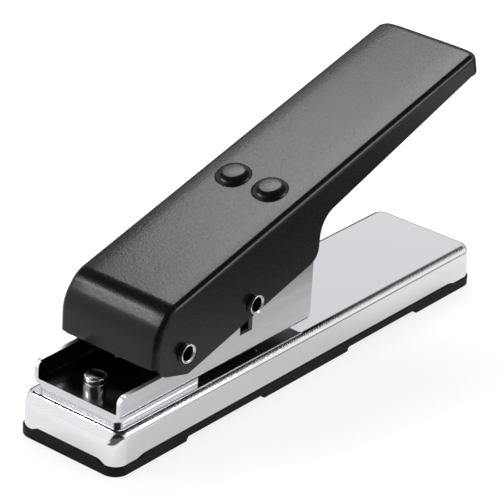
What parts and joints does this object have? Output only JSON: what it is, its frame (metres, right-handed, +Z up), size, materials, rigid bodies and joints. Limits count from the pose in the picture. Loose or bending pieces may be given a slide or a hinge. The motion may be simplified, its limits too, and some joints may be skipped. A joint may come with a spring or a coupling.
{
  "type": "guitar pick punch",
  "caption": "Hand press that stamps plectrum-shaped picks from plastic cards: a sprung lever drives a guided ram through a die in a hollow base.",
  "frame": {"origin": "on the surface the tool stands on, under the middle of the base", "axes": "+Z up, +Y along the base from the tray end to the end of the handle, +X across to the right as seen from the tray end"},
  "size_m": [0.0416, 0.178, 0.085],
  "materials": {
    "chrome_plate": "bright chrome plate on pressed steel",
    "plated_steel": "plated steel with a fine grain",
    "bright_steel": "bright turned steel",
    "tool_steel": "ground hardened steel",
    "spring_steel": "drawn spring wire",
    "black_paint": "satin black powder coat on drawn steel",
    "black_plastic": "soft matt black moulding"
  },
  "bodies": {
    "base": {"bottom_cover": "black_plastic", "base_shell": "chrome_plate", "die_plate": "tool_steel", "front_spacer": "plated_steel", "bracket": "chrome_plate", "front_post": "bright_steel", "rivet_right": "bright_steel", "rivet_left": "bright_steel", "die_rivet_right": "bright_steel", "die_rivet_left": "bright_steel", "pivot_pin": "bright_steel", "pivot_sleeve": "plated_steel", "spring_peg_right": "bright_steel", "spring_peg_left": "bright_steel", "return_spring_right": "spring_steel", "return_spring_left": "spring_steel"},
    "handle": {"handle": "black_paint"},
    "ram": {"ram": "tool_steel", "ram_pin": "bright_steel", "ram_collar_right": "plated_steel", "ram_collar_left": "plated_steel"}
  },
  "joints": [
    {"name": "handle_pivot", "type": "hinge", "parent": "base", "child": "handle", "pos_m": [0, -0.0594, 0.031], "axis": [1, 0, 0], "range_deg": [-14.5, 0], "stiffness_Nm_per_rad": 1.2, "springref_deg": 6.88, "deforming": ["return_spring_right", "return_spring_left"]},
    {"name": "ram_slide", "type": "slide", "parent": "base", "child": "ram", "axis": [0, 0, 1], "range_m": [-0.008, 0]}
  ],
  "couplings": [
    {"joint": "ram_slide", "follows": "handle_pivot", "m_per_rad": 0.0315}
  ]
}
